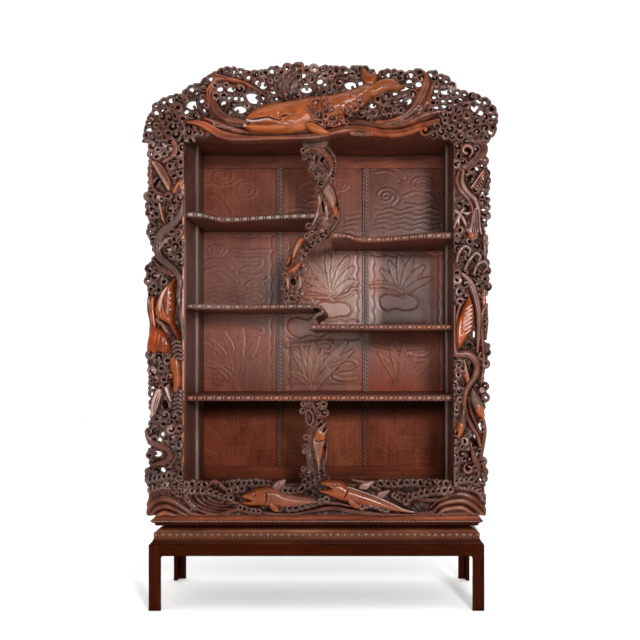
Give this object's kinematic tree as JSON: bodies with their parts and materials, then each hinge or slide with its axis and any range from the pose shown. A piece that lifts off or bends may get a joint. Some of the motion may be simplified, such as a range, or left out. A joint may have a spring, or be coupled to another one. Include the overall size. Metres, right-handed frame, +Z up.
{
  "type": "display cabinet",
  "caption": "Carved hardwood display cabinet: open case of stepped, shaped shelves behind a pierced wave-carved frame with a whale crest, lifting off a moulded low stand.",
  "frame": {"origin": "middle of the footprint on the floor", "axes": "+Z up, front of the cabinet towards -Y, +X to the right as seen from the front"},
  "size_m": [1.4423, 0.475, 2.2095],
  "materials": {
    "stand_wood": "dark red-brown polished hardwood",
    "case_wood": "red-brown polished hardwood",
    "panel_wood": "low-relief carved red-brown hardwood",
    "carved_wood": "pierced and carved dark brown hardwood, worn on the high points",
    "figure_wood": "carved orange-brown hardwood, polished",
    "peg_wood": "plain turned pegs"
  },
  "bodies": {
    "stand": {"leg_front_left": "stand_wood", "leg_front_right": "stand_wood", "leg_rear_left": "stand_wood", "leg_rear_right": "stand_wood", "apron_front": "stand_wood", "apron_rear": "stand_wood", "apron_left": "stand_wood", "apron_right": "stand_wood", "stand_rail_front": "stand_wood", "stand_rail_rear": "stand_wood", "stand_rail_left": "stand_wood", "stand_rail_right": "stand_wood", "waist": "stand_wood", "stand_top_moulding_front": "stand_wood", "stand_top_moulding_rear": "stand_wood", "stand_top_moulding_left": "stand_wood", "stand_top_moulding_right": "stand_wood", "stand_top_panel": "stand_wood", "dowel_front_left": "peg_wood", "dowel_front_right": "peg_wood", "dowel_rear_left": "peg_wood", "dowel_rear_right": "peg_wood"},
    "case": {"plinth_side_left": "case_wood", "plinth_side_right": "case_wood", "plinth_rear": "case_wood", "floor_board": "case_wood", "side_panel_left": "case_wood", "side_panel_right": "case_wood", "front_post_left": "case_wood", "front_post_right": "case_wood", "side_batten_left": "case_wood", "side_batten_right": "case_wood", "top_board": "case_wood", "back_rail_bottom": "case_wood", "back_rail_top": "case_wood", "back_muntin_left": "case_wood", "back_muntin_right": "case_wood", "back_panel_left": "panel_wood", "back_panel_centre": "panel_wood", "back_panel_right": "panel_wood", "shelf_lower": "case_wood", "shelf_middle_left": "case_wood", "shelf_middle_right": "case_wood", "shelf_upper_left": "case_wood", "shelf_upper_right": "case_wood", "shelf_riser": "case_wood", "upright_upper": "carved_wood", "upright_capital": "case_wood", "upright_lower": "carved_wood", "crest_board": "carved_wood", "pilaster_left": "carved_wood", "pilaster_right": "carved_wood", "base_carving": "carved_wood", "crest_whale": "figure_wood", "base_fish_left": "figure_wood", "base_fish_right": "figure_wood", "pilaster_dolphin_left": "figure_wood", "pilaster_fish_right": "figure_wood"}
  },
  "joints": [
    {"name": "case_lift", "type": "slide", "parent": "stand", "child": "case", "axis": [0, 0, 1], "range_m": [0, 0.06]}
  ]
}
